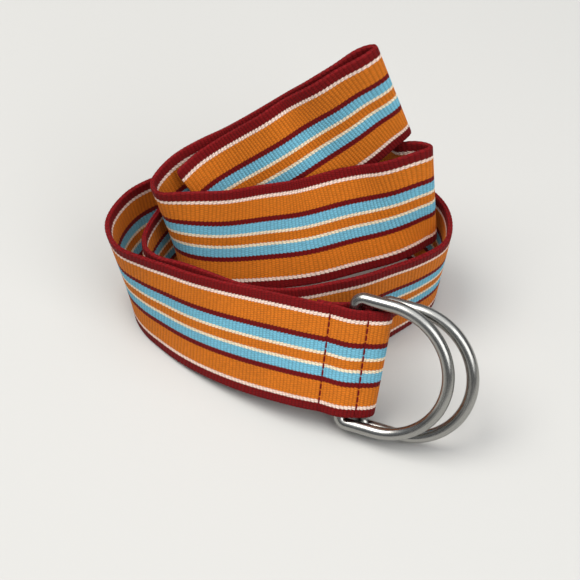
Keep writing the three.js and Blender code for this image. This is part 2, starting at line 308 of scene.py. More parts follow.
def from_seam(ahead, out, across):
    """A place in the frame, given ahead of seam 1, out of the strap's face and up across it."""
    fanned = np.asarray(ahead, float) * (1 + FAN * np.asarray(across, float))
    places = np.multiply.outer(fanned, seam_ahead)
    places = places + np.multiply.outer(np.asarray(out, float), seam_out)
    return seam_centre + places + np.multiply.outer(np.asarray(across, float), seam_across)


print("route moved by", (shift / MM).round(2), "mm; seam 1 at", (seam_centre / MM).round(1))

# %% [markdown]
# ## The folded and sewn end
# Seen from its edge, the end of the strap makes a figure of two loops. It leaves seam 1,
# passes over the front bar, dips to seam 2, wraps the rear bar, comes back behind the front bar
# and ends turned under behind seam 1. One curve through a short table draws this figure,
# and it runs on into the route without a break, as the real strap does.

# %% Fold path: (ahead, out) in millimetres, from the turned-under end to seam 1
FOLD_PATH = [
    # turned-under end
    (-5.2, -1.85), (-2.5, -1.85), (-0.4, -1.9),
    # behind the front bar
    (2.6, -3.3), (4.9, -4.95), (7.2, -5.6), (9.2, -5.2), (10.3, -4.2),
    # pulled in to seam 2 and out again
    (11.0, -2.9), (11.6, -2.1), (11.7, -2.9), (11.5, -4.2), (11.4, -5.8),
    # round the rear bar
    (11.9, -7.4), (13.1, -8.6), (14.7, -9.0), (16.4, -8.5), (17.6, -7.3), (18.0, -5.7),
    (17.6, -4.1), (16.6, -2.8), (15.1, -1.75), (13.7, -1.0),
    # over seam 2
    (12.4, -0.4), (11, 0.15),
    # over the front bar
    (9.2, 0.85), (7.2, 1.2), (5, 1.0), (3, 0.5), (1.2, 0.1),
    # seam 1
    (0, 0),
]
FOLD_SAMPLES = 500

fold = curve_through(np.array(FOLD_PATH) * MM, np.linspace(0, 1, FOLD_SAMPLES))[:-1]
fold_low = from_seam(fold[:, 0], fold[:, 1], -STRAP_WIDTH / 2)
fold_high = from_seam(fold[:, 0], fold[:, 1], STRAP_WIDTH / 2)
whole_low = np.vstack([fold_low, low_edge])
whole_high = np.vstack([fold_high, high_edge])
print("fold path:", round(float(np.linalg.norm(np.diff(fold, axis=0), axis=1).sum() / MM), 1), "mm")

# %% [markdown]
# ## Stations, a quarter of a rib apart
# Grosgrain has ribs across its width, here 1.27 mm apart. They are real relief on a real ribbon,
# so they are made in the mesh and not only in the shader: four stations for each rib, at the
# valley, the two flanks and the crest. A light smoothing along the edges takes out what is left
# of the steps between the table's rows, as cloth does by its stiffness.

# %% Distances and smoothing
# The bell curve of the smoothing is cut off at so many spreads
BELL_REACH = 3


def along_distance(points):
    """Distance run along a row of points, starting from 0."""
    return np.concatenate([[0], np.cumsum(np.linalg.norm(np.diff(points, axis=0), axis=1))])


def resample(points, old, new):
    """Points at the new distances, read between those at the old ones."""
    return np.stack([np.interp(new, old, points[:, k]) for k in range(points.shape[1])], 1)


def smoothed(values, spread):
    """Values averaged with their neighbours in a bell curve, spread in samples."""
    reach = int(math.ceil(BELL_REACH * spread))
    bell = np.exp(-0.5 * (np.arange(-reach, reach + 1) / spread) ** 2)
    bell /= bell.sum()
    columns = values.reshape(len(values), -1)
    start = 2 * columns[0] - columns[reach:0:-1]
    end = 2 * columns[-1] - columns[-2:-reach - 2:-1]
    padded = np.vstack([start, columns, end])
    done = np.stack([np.convolve(padded[:, k], bell, "valid") for k in range(columns.shape[1])], 1)
    return done.reshape(values.shape)


run = along_distance((whole_low + whole_high) / 2)
print("strap:", round(run[-1] / MM), "mm from the turned-under end to the free tip")

# %% Stations along the whole strap
RIB_PITCH = 1.27 * MM
STATIONS_PER_RIB = 4
CLOTH_STIFFNESS = 1.6 * MM
FOLD_STIFFNESS = 0.25 * MM
FOLD_TO_CLOTH = 6 * MM

step = RIB_PITCH / STATIONS_PER_RIB
places = np.arange(0, run[-1], step)
fold_length = float(run[len(fold)])
loose = np.clip((places - fold_length) / FOLD_TO_CLOTH, 0, 1)[:, None]


def edge_at_stations(edge):
    """An edge read at the stations and smoothed, less on the fold than past it."""
    edge = resample(edge, run, places)
    past_fold = smoothed(edge, CLOTH_STIFFNESS / step)
    on_fold = smoothed(edge, FOLD_STIFFNESS / step)
    return past_fold * loose + on_fold * (1 - loose)


low, high = edge_at_stations(whole_low), edge_at_stations(whole_high)
centre = (low + high) / 2
along = unit(np.gradient(centre, axis=0))
across = high - low
across = unit(across - along * (across * along).sum(1)[:, None])
face = np.cross(across, along)
count = len(places)
print(count, "stations,", round(places[-1] / RIB_PITCH), "ribs")

# %% [markdown]
# ## How thick the ribbon may be in a bend
# A layer that lies on the inner side of a tight fold has less room than its thickness.
# Cloth is squeezed there. The mesh does the same: the offset from the middle of the strap
# stays below the bend's own radius, so the surface never passes through itself.

# %% Thickness at every station, on both faces
LAYER_THICK = 0.9 * MM
# Largest offset, as a share of the bend's radius
SQUEEZE = 0.75
ALMOST_STRAIGHT = 1e-6
# Spreads of the smoothing, in stations
BEND_SPREAD = 2.0
ROOM_SPREAD = 1.5

bend = (np.gradient(along, axis=0) * face).sum(1) / step
bend = smoothed(bend, BEND_SPREAD)


def room_for(bend_towards):
    """Offset that a layer may have on the side that the strap bends towards."""
    tight = np.maximum(bend_towards, ALMOST_STRAIGHT)
    return smoothed(np.minimum(LAYER_THICK, SQUEEZE / tight), ROOM_SPREAD)


front_room, back_room = room_for(bend), room_for(-bend)
print("thinnest layer:", round(float(min(front_room.min(), back_room.min()) / MM), 2), "mm")

# %% [markdown]
# ## One layer of ribbon
# The strap is two ribbons sewn back to back. Each is lofted through the stations with one
# section: a ribbed face, a rounded woven edge on both sides, and a flat back that meets the
# other layer. The section is written once, as places across and a share of the thickness.

# %% Section of a layer
FACE_COLUMNS = 13
EDGE_INSET = 0.9 * MM
EDGE_ROUND = [
    # distance in from the edge in millimetres, and share of the thickness
    (0.45, 0.97), (0.12, 0.80), (0.0, 0.52), (0.10, 0.24),
]


def layer_section():
    """(across, share of the thickness, share of the ribs' depth) of each corner of the section."""
    half = STRAP_WIDTH / 2
    face_end = half - EDGE_INSET
    back_end = half - EDGE_INSET / 2
    ribbed = [(x, 1.0, 1.0) for x in np.linspace(-face_end, face_end, FACE_COLUMNS)]
    high_side = [(half - away * MM, share, share) for away, share in EDGE_ROUND]
    low_side = [(-x, share, ribs) for x, share, ribs in reversed(high_side)]
    back = [(x, 0.0, 0.0) for x in (back_end, half / 2, 0.0, -half / 2, -back_end)]
    return np.array(ribbed + high_side + back + low_side)


section = layer_section()
print("section of a layer:", len(section), "corners")


# %% Mesh helpers
def mesh_object(name, points, faces):
    """A smooth mesh object from points in metres and faces."""
    mesh = bpy.data.meshes.new(name)
    mesh.from_pydata([tuple(p) for p in points], [], [tuple(f) for f in faces])
    mesh.update()
    mesh.shade_smooth()
    made = bpy.data.objects.new(name, mesh)
    bpy.context.scene.collection.objects.link(made)
    return made


def tube_faces(rings, corners, closed=False):
    """Faces of a tube of so many rings; its ends are capped unless it closes on itself."""
    i = np.arange(rings if closed else rings - 1)[:, None]
    j = np.arange(corners)[None, :]
    here, there = i * corners, ((i + 1) % rings) * corners
    right = (j + 1) % corners
    quads = np.stack([here + j, here + right, there + right, there + j], -1).reshape(-1, 4).tolist()
    if closed:
        return quads
    last = (rings - 1) * corners
    return quads + [list(range(corners))[::-1], list(range(last, last + corners))]


def add_place(made, name, values):
    """Keeps a place on the cloth or wire with each point of a mesh, for the shader to read."""
    attribute = made.data.attributes.new(name, "FLOAT_VECTOR", "POINT")
    attribute.data.foreach_set("vector", np.asarray(values, np.float32).ravel())


print("a layer will have", len(tube_faces(count, len(section))), "faces")

# %% [markdown]
# ## Seams pull the ribbon in
# A row of stitches draws both layers together, so the face dips along it. The dip is a narrow
# bell curve round each seam. Seams are found on the stations by where they lie ahead of seam 1.

# %% Places of the seams along the strap
SEAM_DIP = 0.24 * MM
SEAM_REACH = 0.75 * MM
FOLD_MARGIN = 5 * MM
SEAMS = [
    # name, and its place ahead of seam 1 and out of the strap's face, in millimetres
    ("seam_1_front", 0.0, 0.0),
    ("seam_1_back", 0.0, -1.85),
    ("seam_2_front", 12.4, -0.4),
    ("seam_2_back", 11.0, -2.9),
]
seen_from_seam = np.stack([(centre - seam_centre) @ seam_ahead, (centre - seam_centre) @ seam_out], 1)


def station_near(ahead, out):
    """The station on the fold that lies nearest to a place in the seam's own axes."""
    on_fold = places < fold_length + FOLD_MARGIN
    away = np.linalg.norm(seen_from_seam - np.array([ahead, out]), axis=1)
    return int(np.argmin(np.where(on_fold, away, np.inf)))


seam_stations = {name: station_near(ahead * MM, out * MM) for name, ahead, out in SEAMS}
dip = sum(np.exp(-((places - places[k]) / SEAM_REACH) ** 2) for k in seam_stations.values()) * SEAM_DIP
print({name: round(float(places[k] / MM), 1) for name, k in seam_stations.items()})

# %% [markdown]
# ## Both layers
# The same function makes the front and the back layer, with the sign of the face turned round.
# Both layers have their ribs at the same places along the strap. Between two ribs the face and
# the woven edge draw in, which scallops the edge a little, and both ends are rounded off.

# %% Relief along the strap
RIB_DEPTH = 0.14 * MM
EDGE_SCALLOP = 0.09 * MM
# Under 1, a crest is broader than a valley
RIB_SHAPE = 0.8
TIP_CORNER = 1.5 * MM
# Thickness left at the very end, and the run over which it grows to the whole
END_SHARE = 0.35
END_ROUND = 0.9 * MM

ripple = np.abs(np.sin(np.pi * places / RIB_PITCH)) ** RIB_SHAPE


def tip_width():
    """Share of the width at each station: 1, less at the rounded corners of the free tip."""
    left = np.clip(TIP_CORNER - (places[-1] - places), 0, TIP_CORNER)
    cut = TIP_CORNER - np.sqrt(TIP_CORNER**2 - left**2)
    return 1 - cut / (STRAP_WIDTH / 2)


def end_thickness():
    """Share of the thickness at each station: 1, less at the two rounded ends."""
    from_end = np.minimum(places, places[-1] - places)
    return np.sqrt(np.clip(END_SHARE + from_end / END_ROUND, 0, 1))


print("ribs", RIB_DEPTH / MM, "mm deep; free tip", round(float(tip_width()[-1]), 2), "of the width")

# %% Make the layers
LAYER_GAP = 0.02 * MM


def ribbon_layer(name, side, room, dips):
    """One ribbon layer, on the side +1 (face) or -1 (back) of the strap's middle."""
    width_share = tip_width()[:, None]
    thick = ((room - LAYER_GAP) * end_thickness())[:, None]
    valley = (1 - ripple)[:, None]
    x = section[:, 0][None, :]
    share, ribs = section[:, 1][None, :], section[:, 2][None, :]
    at_edge = (1 - ribs) * (share > 0)
    sideways = x * width_share - np.sign(x) * at_edge * EDGE_SCALLOP * valley
    carved = RIB_DEPTH * valley * (thick / LAYER_THICK) + dips[:, None]
    height = LAYER_GAP + share * thick - ribs * carved
    points = (
        centre[:, None, :]
        + across[:, None, :] * sideways[..., None]
        + face[:, None, :] * (side * height)[..., None]
    )
    # the back layer's corners run the other way round, so that its faces point out too
    order = slice(None) if side > 0 else slice(None, None, -1)
    points = points[:, order]
    made = mesh_object(name, points.reshape(-1, 3), tube_faces(count, len(section)))
    run_of_point = np.broadcast_to(places[:, None], sideways.shape)
    place = np.stack([run_of_point, sideways, height], -1)[:, order]
    add_place(made, "ribbon_place", place.reshape(-1, 3))
    return made


face_ribbon = ribbon_layer("face_ribbon", +1, front_room, dip)
back_ribbon = ribbon_layer("back_ribbon", -1, back_room, np.zeros(count))
for layer in (face_ribbon, back_ribbon):
    print(layer.name, len(layer.data.polygons), "faces")

# %% [markdown]
# ## Helpers for shader graphs
# A material is a small program of nodes. One helper puts a value or a link on a socket, and
# most of the others make one node and return what comes out of it, so a graph reads like a
# formula. A look that has parts of its own, such as the stripes, the weave and the brushed
# wire, is a node group: it is built once and placed in a material with that material's values.


# %% Nodes for numbers
def plug(tree, value, socket):
    """Links a socket to another one, or sets it to a constant."""
    if isinstance(value, bpy.types.NodeSocket):
        tree.links.new(value, socket)
    else:
        socket.default_value = value


def compute(tree, operation, *values):
    """A Math node's result."""
    node = tree.nodes.new("ShaderNodeMath")
    node.operation = operation
    for value, socket in zip(values, node.inputs):
        plug(tree, value, socket)
    return node.outputs[0]


def total(tree, first, *others):
    """The sum of several values."""
    for value in others:
        first = compute(tree, "ADD", first, value)
    return first


def arches(tree, turns):
    """A row of arches, 0 at each whole turn and 1 half way between two."""
    return compute(tree, "ABSOLUTE", compute(tree, "SINE", compute(tree, "MULTIPLY", turns, math.pi)))


def remap(tree, value, low_value, high_value, to_low=0.0, to_high=1.0, smooth=False):
    """A Map Range node's result, clamped."""
    node = tree.nodes.new("ShaderNodeMapRange")
    node.interpolation_type = "SMOOTHSTEP" if smooth else "LINEAR"
    for name, given in (("Value", value), ("From Min", low_value), ("From Max", high_value),
                        ("To Min", to_low), ("To Max", to_high)):
        plug(tree, given, node.inputs[name])
    return node.outputs[0]


print("number helpers made")

# %% Nodes for vectors, colours and noise
# A Mix node has a set of sockets for each kind of value: these are the colour ones
MIX_FIRST, MIX_SECOND, MIX_RESULT = 6, 7, 2


def mix_colour(tree, share, first, second):
    """A Mix node for colours."""
    node = tree.nodes.new("ShaderNodeMix")
    node.data_type = "RGBA"
    plug(tree, share, node.inputs["Factor"])
    plug(tree, first, node.inputs[MIX_FIRST])
    plug(tree, second, node.inputs[MIX_SECOND])
    return node.outputs[MIX_RESULT]


def lightened(tree, colour, light):
    """A colour made lighter or darker by a factor."""
    node = tree.nodes.new("ShaderNodeVectorMath")
    node.operation = "SCALE"
    plug(tree, colour, node.inputs[0])
    plug(tree, light, node.inputs["Scale"])
    return node.outputs[0]


def scaled_vector(tree, vector, scales):
    """A vector multiplied by another, channel by channel."""
    node = tree.nodes.new("ShaderNodeVectorMath")
    node.operation = "MULTIPLY"
    plug(tree, vector, node.inputs[0])
    plug(tree, scales, node.inputs[1])
    return node.outputs[0]


def split(tree, vector):
    """The three channels of a vector."""
    node = tree.nodes.new("ShaderNodeSeparateXYZ")
    plug(tree, vector, node.inputs[0])
    return node.outputs[0], node.outputs[1], node.outputs[2]


def noise(tree, vector, scale, detail=2.0, roughness=0.5):
    """A Noise Texture's value."""
    node = tree.nodes.new("ShaderNodeTexNoise")
    plug(tree, vector, node.inputs["Vector"])
    plug(tree, scale, node.inputs["Scale"])
    plug(tree, detail, node.inputs["Detail"])
    plug(tree, roughness, node.inputs["Roughness"])
    return node.outputs["Fac"]


print("vector, colour and noise helpers made")

# %% Node groups
FLOAT, VECTOR, COLOUR = "NodeSocketFloat", "NodeSocketVector", "NodeSocketColor"


def new_group(name, inputs, outputs):
    """An empty node group with named sockets; returns it, its inputs and its outputs."""
    tree = bpy.data.node_groups.new(name, "ShaderNodeTree")
    for label, kind, start in inputs:
        socket = tree.interface.new_socket(label, in_out="INPUT", socket_type=kind)
        if start is not None:
            socket.default_value = start
    for label, kind in outputs:
        tree.interface.new_socket(label, in_out="OUTPUT", socket_type=kind)
    return tree, tree.nodes.new("NodeGroupInput").outputs, tree.nodes.new("NodeGroupOutput").inputs


def place_group(tree, group, **values):
    """A node group in a material, with its sockets set by name (spaces written as _)."""
    node = tree.nodes.new("ShaderNodeGroup")
    node.node_tree = group
    for name, value in values.items():
        plug(tree, value, node.inputs[name.replace("_", " ")])
    return node.outputs


print("group helpers made")


# %% Materials
def new_material(name, finish):
    """A material, its node tree and its Principled shader, with the finish set on the shader."""
    material = bpy.data.materials.new(name)
    material.use_nodes = True
    shader = material.node_tree.nodes["Principled BSDF"]
    for socket, value in finish.items():
        shader.inputs[socket].default_value = value
    return material, material.node_tree, shader


def kept_place(tree, name):
    """The place that add_place kept with the mesh, in millimetres."""
    node = tree.nodes.new("ShaderNodeAttribute")
    node.attribute_name = name
    return scaled_vector(tree, node.outputs["Vector"], (1 / MM, 1 / MM, 1 / MM))


def add_bump(tree, shader, height, depth, strength=1.0):
    """Relief on a shader, from a height of 0 to 1 that stands for a depth in metres."""
    bump = tree.nodes.new("ShaderNodeBump")
    bump.inputs["Distance"].default_value = depth
    bump.inputs["Strength"].default_value = strength
    tree.links.new(height, bump.inputs["Height"])
    tree.links.new(bump.outputs["Normal"], shader.inputs["Normal"])


print("material helpers made")

# %% [markdown]
# ## Woven stripes
# The stripes lie in the warp, the threads that run the length of the ribbon, so a stripe is a
# range of distances from the ribbon's middle, the same on both sides of it. The border of a
# stripe isn't quite straight: the threads slant a little over each rib, which gives the narrow
# pale stripes their look of a row of small teeth. A saw-tooth wave along the ribbon moves the
# borders by a fraction of a millimetre.


# %% Node group: stripes
def srgb(red, green, blue):
    """A screen colour, 0 to 255 a channel, as linear light, by the formula of the sRGB standard."""
    channels = np.array([red, green, blue]) / 255
    linear = np.where(channels <= 0.04045, channels / 12.92, ((channels + 0.055) / 1.055) ** 2.4)
    return (*(float(x) for x in linear), 1.0)


STRIPES = [
    # name, colour, and the distance from the middle where it ends, in millimetres
    ("middle", srgb(211, 115, 26), 1.6),
    ("cream", srgb(248, 228, 196), 2.65),
    ("blue", srgb(119, 188, 212), 6.05),
    ("dark red", srgb(112, 10, 12), 7.9),
    ("orange", srgb(213, 117, 28), 14.65),
    ("white", srgb(250, 222, 206), 15.8),
    ("edge red", srgb(116, 8, 12), 19.0),
]
# Both in millimetres
BORDER_BLUR = 0.08
BORDER_TEETH = 0.34


def stripes_group():
    """Colour of the ribbon at a place on it."""
    inputs = [
        ("Place", VECTOR, None),
        ("Rib Pitch", FLOAT, RIB_PITCH / MM),
        ("Scallop", FLOAT, BORDER_TEETH),
    ]
    inputs += [(f"Colour {name}", COLOUR, colour) for name, colour, _ in STRIPES]
    tree, given, made = new_group("woven_stripes", inputs, [("Color", COLOUR)])
    run_along, run_across, _ = split(tree, given["Place"])
    tooth = compute(tree, "FRACT", compute(tree, "DIVIDE", run_along, given["Rib Pitch"]))
    bulge = compute(tree, "MULTIPLY", compute(tree, "SUBTRACT", tooth, 0.5), given["Scallop"])
    away = compute(tree, "ADD", compute(tree, "ABSOLUTE", run_across), bulge)
    colour = given["Colour " + STRIPES[0][0]]
    for (_, _, border), (name, _, _) in zip(STRIPES, STRIPES[1:]):
        share = remap(tree, away, border - BORDER_BLUR, border + BORDER_BLUR)
        colour = mix_colour(tree, share, colour, given["Colour " + name])
    plug(tree, colour, made["Color"])
    return tree


woven_stripes = stripes_group()
print("group woven_stripes:", len(woven_stripes.nodes), "nodes")

# %% [markdown]
# ## Ribs and threads
# The mesh has the ribs. What is finer stays in the shader: the warp threads that cross each rib
# side by side, painted shade in the valley between two ribs and in the groove between two
# threads, and threads that are a little lighter or darker than their neighbours.

# %% Node group: weave
# Width of a thread, how far it wanders sideways, and how far it moves over from rib to rib, in mm
THREAD_PITCH = 0.78
THREAD_WANDER = 0.25
RIB_TO_RIB = 0.35
# Powers of the arches: under 1 they are flatter on top, over 1 narrower
THREAD_SHAPE = 0.6
WEAVE_RIB_SHAPE = 0.5
VALLEY_SHAPE = 1.6
# Scales of the noises, for each millimetre, and the values that a noise mostly lies between
WANDER_SCALE = 0.9
FINE_STRETCH = (0.8, 1.8, 1.0)
BROAD_SCALE = 0.06
NOISE_LOW, NOISE_HIGH = 0.3, 0.7
# Changes of tone by the fine noise and by the broad one, and painted shade in the groove between two
# threads
FINE_SHADE = 0.14
BROAD_SHADE = 0.05
GROOVE_PAINTED_SHADE = -0.34


def weave_group():
    """Relief of the weave at a place on the ribbon, where its valleys lie, and its tone with painted shade
    in the grooves.
    """
    inputs = [
        ("Place", VECTOR, None),
        ("Rib Pitch", FLOAT, RIB_PITCH / MM),
        ("Thread Pitch", FLOAT, THREAD_PITCH),
    ]
    outputs = [("Height", FLOAT), ("Valley", FLOAT), ("Shade", FLOAT)]
    tree, given, made = new_group("rib_weave", inputs, outputs)
    run_along, run_across, _ = split(tree, given["Place"])

    ribs_along = compute(tree, "DIVIDE", run_along, given["Rib Pitch"])
    rib = arches(tree, ribs_along)
    moved_over = compute(tree, "MULTIPLY", compute(tree, "FLOOR", ribs_along), RIB_TO_RIB)
    wander = compute(tree, "SUBTRACT", noise(tree, given["Place"], WANDER_SCALE), 0.5)
    wander = compute(tree, "MULTIPLY", wander, THREAD_WANDER)
    sideways = total(tree, run_across, wander, moved_over)
    thread = arches(tree, compute(tree, "DIVIDE", sideways, given["Thread Pitch"]))

    rounded = compute(tree, "POWER", thread, THREAD_SHAPE)
    height = compute(tree, "MULTIPLY", rounded, compute(tree, "POWER", rib, WEAVE_RIB_SHAPE))
    valley = compute(tree, "POWER", compute(tree, "SUBTRACT", 1.0, rib), VALLEY_SHAPE)
    plug(tree, height, made["Height"])
    plug(tree, valley, made["Valley"])

    stretched = scaled_vector(tree, given["Place"], FINE_STRETCH)
    fine = noise(tree, stretched, scale=1.0, detail=3.0, roughness=0.6)
    broad = noise(tree, given["Place"], BROAD_SCALE)
    fine = remap(tree, fine, NOISE_LOW, NOISE_HIGH, -FINE_SHADE, FINE_SHADE)
    broad = remap(tree, broad, NOISE_LOW, NOISE_HIGH, -BROAD_SHADE, BROAD_SHADE)
    # painted shade: darker in the groove between two threads
    painted_groove_shade = compute(tree, "MULTIPLY", compute(tree, "SUBTRACT", 1.0, thread), GROOVE_PAINTED_SHADE)
    plug(tree, total(tree, fine, broad, painted_groove_shade, 1.0), made["Shade"])
    return tree


rib_weave = weave_group()
print("group rib_weave:", len(rib_weave.nodes), "nodes")

# %% [markdown]
# ## The ribbon's material
# Woven polyester is matt with a faint sheen. The colour is the stripe, with painted shade in the
# valleys between the ribs and in the grooves between the threads, and lighter in the line where
# the two woven edges meet.

# %% Ribbon material
RIBBON_FINISH = {
    "Roughness": 0.78,
    "Specular IOR Level": 0.14,
    "Sheen Weight": 0.03,
    "Sheen Roughness": 0.45,
}
RIBBON_BUMP = 0.16 * MM
RIBBON_BUMP_STRENGTH = 0.9
# Share of the colour taken out at the bottom of a valley between two ribs, as painted shade
VALLEY_PAINTED_SHADE = 0.3
EDGE_LINE = srgb(150, 30, 36)
EDGE_LINE_SHARE = 0.8
# Distances from the strap's middle between which the line fades out, in millimetres
EDGE_LINE_INSIDE, EDGE_LINE_OUTSIDE = 0.08, 0.30


def ribbon_material(name):
    """Striped grosgrain, with painted shade in the valleys and grooves of its weave."""
    material, tree, shader = new_material(name, RIBBON_FINISH)
    place = kept_place(tree, "ribbon_place")
    stripes = place_group(tree, woven_stripes, Place=place, Rib_Pitch=RIB_PITCH / MM)
    weave = place_group(tree, rib_weave, Place=place, Rib_Pitch=RIB_PITCH / MM)
    _, _, through = split(tree, place)
    edge_line = remap(tree, through, EDGE_LINE_INSIDE, EDGE_LINE_OUTSIDE, EDGE_LINE_SHARE, 0.0)
    colour = mix_colour(tree, edge_line, stripes["Color"], EDGE_LINE)
    # painted shade: the stripe's colour darkened in the valleys between ribs and in the grooves between
    # threads
    dark = compute(tree, "MULTIPLY", weave["Valley"], VALLEY_PAINTED_SHADE)
    light = compute(tree, "MULTIPLY", compute(tree, "SUBTRACT", 1.0, dark), weave["Shade"])
    tree.links.new(lightened(tree, colour, light), shader.inputs["Base Color"])
    add_bump(tree, shader, weave["Height"], RIBBON_BUMP, RIBBON_BUMP_STRENGTH)
    return material


ribbon_cloth = ribbon_material("striped_grosgrain")
for layer in (face_ribbon, back_ribbon):
    layer.data.materials.append(ribbon_cloth)
print("ribbon material:", len(ribbon_cloth.node_tree.nodes), "nodes")

# %% [markdown]
# ## Stitches
# A seam sewn across the strap shows as short lengths of thick thread that dive into the cloth
# at both ends. Each stitch is a small bowed capsule. All the stitches of the belt are one mesh.

# %% One stitch
THREAD_RADIUS = 0.3 * MM
STITCH_LENGTH = 2.3 * MM
STITCH_RINGS = 9
STITCH_SIDES = 8
# How far the bow rises above its ends, and how deep these lie in the cloth, in thread radii
STITCH_RISE = 1.1
STITCH_DIVE = 0.75
# Under 1, the stitch rises soon after each end
STITCH_SHAPE = 0.6
# Share of the radius at the ends, and how fast it grows to the whole as the stitch rises
STITCH_END = 0.6
STITCH_SWELL = 1.6


def stitch(start, end, up):
    """Points of one stitch from start to end, bowed up out of the cloth, and their places on it."""
    t = np.linspace(0, 1, STITCH_RINGS)
    length = np.linalg.norm(end - start)
    side = np.cross(unit(end - start), up)
    bow = np.sin(np.pi * t) ** STITCH_SHAPE
    lift = (bow * STITCH_RISE - STITCH_DIVE)[:, None] * THREAD_RADIUS
    middle = start + (end - start) * t[:, None] + up * lift
    radius = THREAD_RADIUS * np.clip(STITCH_END + STITCH_SWELL * bow, 0, 1)
    turn = 2 * np.pi * np.arange(STITCH_SIDES) / STITCH_SIDES
    one_way, other_way = np.cos(turn)[None, :], np.sin(turn)[None, :]
    outwards = one_way[..., None] * side + other_way[..., None] * up
    points = middle[:, None, :] + outwards * radius[:, None, None]
    run_along = (t * length)[:, None]
    place = np.broadcast_arrays(run_along, one_way * THREAD_RADIUS, other_way * THREAD_RADIUS)
    return points, np.stack(place, -1)


print("a stitch has", STITCH_RINGS * STITCH_SIDES, "points")

# %% Stitches of the seams
STITCH_GAP = 0.05 * MM
SEAM_MARGIN = 0.7 * MM
STITCH_SINK = 0.4 * RIB_DEPTH


def seam_row(station):
    """(start, end, up) of each stitch across the strap at a station."""
    half = STRAP_WIDTH / 2 - SEAM_MARGIN
    number = int(2 * half // (STITCH_LENGTH + STITCH_GAP))
    starts = np.linspace(-half, half - STITCH_LENGTH, number)
    up = face[station]
    base = centre[station] + up * (front_room[station] - dip[station] - STITCH_SINK)
    return [(base + across[station] * x, base + across[station] * (x + STITCH_LENGTH), up) for x in starts]


rows = [row for station in seam_stations.values() for row in seam_row(station)]
one_stitch = tube_faces(STITCH_RINGS, STITCH_SIDES)
stitch_points, stitch_places, stitch_faces = [], [], []
for number, (start, end, up) in enumerate(rows):
    points, place = stitch(start, end, up)
    offset = number * STITCH_RINGS * STITCH_SIDES
    stitch_faces += [[corner + offset for corner in corners] for corners in one_stitch]
    stitch_points.append(points.reshape(-1, 3))
    stitch_places.append(place.reshape(-1, 3))
stitches = mesh_object("stitches", np.vstack(stitch_points), stitch_faces)
add_place(stitches, "thread_place", np.vstack(stitch_places))
print(len(rows), "stitches")

# %% [markdown]
# ## Thread
# Sewing thread is two or three yarns twisted together. A slanted wave round the stitch gives the
# twist as a bump, and the same wave paints shade into the groove between two turns.

# %% Thread material
THREAD_FINISH = {"Roughness": 0.7, "Specular IOR Level": 0.15}
THREAD_BUMP = 0.06 * MM
TWIST_PITCH = 0.5 * MM
# Share of the thread's colour that is left in the groove, as painted shade
THREAD_GROOVE_PAINTED_SHADE = 0.45


def thread_material(name, colour):
    """Twisted sewing thread, with painted shade in the grooves of its twist."""
    material, tree, shader = new_material(name, THREAD_FINISH)
    length, one_way, other_way = split(tree, kept_place(tree, "thread_place"))
    angle = compute(tree, "ARCTAN2", other_way, one_way)
    twist = compute(tree, "MULTIPLY", length, 2 * math.pi / (TWIST_PITCH / MM))
    yarn = compute(tree, "ABSOLUTE", compute(tree, "SINE", compute(tree, "ADD", twist, angle)))
    # painted shade: the thread's colour darkened in the groove between two turns
    painted_groove_shade = (*(THREAD_GROOVE_PAINTED_SHADE * channel for channel in colour[:3]), 1)
    tree.links.new(mix_colour(tree, yarn, painted_groove_shade, colour), shader.inputs["Base Color"])
    add_bump(tree, shader, yarn, THREAD_BUMP)
    return material


stitches.data.materials.append(thread_material("dark_red_thread", srgb(118, 8, 16)))
print("thread material:", stitches.data.materials[0].name)

# %% [markdown]
# ## The wire rings
# A D-ring is one length of round wire, bent to a straight bar, two small corners and a round bow,
# and closed at the bar where the strap hides the joint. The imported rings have 12 sides, which is
# right for collision and too coarse for a highlight, so each gets a finer ring in the same place.

# %% Path of a ring's wire
WIRE = 4.2 * MM
RING_INSIDE = 40.4 * MM
RING_ARM = 12.3 * MM
RING_CORNER = 3 * MM
CORNER_STEPS = 14
BOW_STEPS = 90
BAR_STEPS = 12


def ring_path():
    """(ahead, across, angle) of the wire's middle, round the ring, with its bar at ahead 0."""
    half = (RING_INSIDE + WIRE) / 2
    path = []

    def arc(ahead, side, radius, start, end, steps):
        for angle in np.radians(np.linspace(start, end, steps + 1)):
            path.append((ahead + radius * math.cos(angle), side + radius * math.sin(angle), angle))

    arc(RING_CORNER, RING_CORNER - half, RING_CORNER, 180, 270, CORNER_STEPS)
    arc(RING_ARM, 0, half, -90, 90, BOW_STEPS)
    arc(RING_CORNER, half - RING_CORNER, RING_CORNER, 90, 180, CORNER_STEPS)
    bar_end = half - RING_CORNER
    for side in np.linspace(bar_end, -bar_end, BAR_STEPS + 1)[1:-1]:
        path.append((0.0, side, math.pi))
    return np.array(path)


print("wire's path:", len(ring_path()), "points")

# %% D-rings
WIRE_SIDES = 32


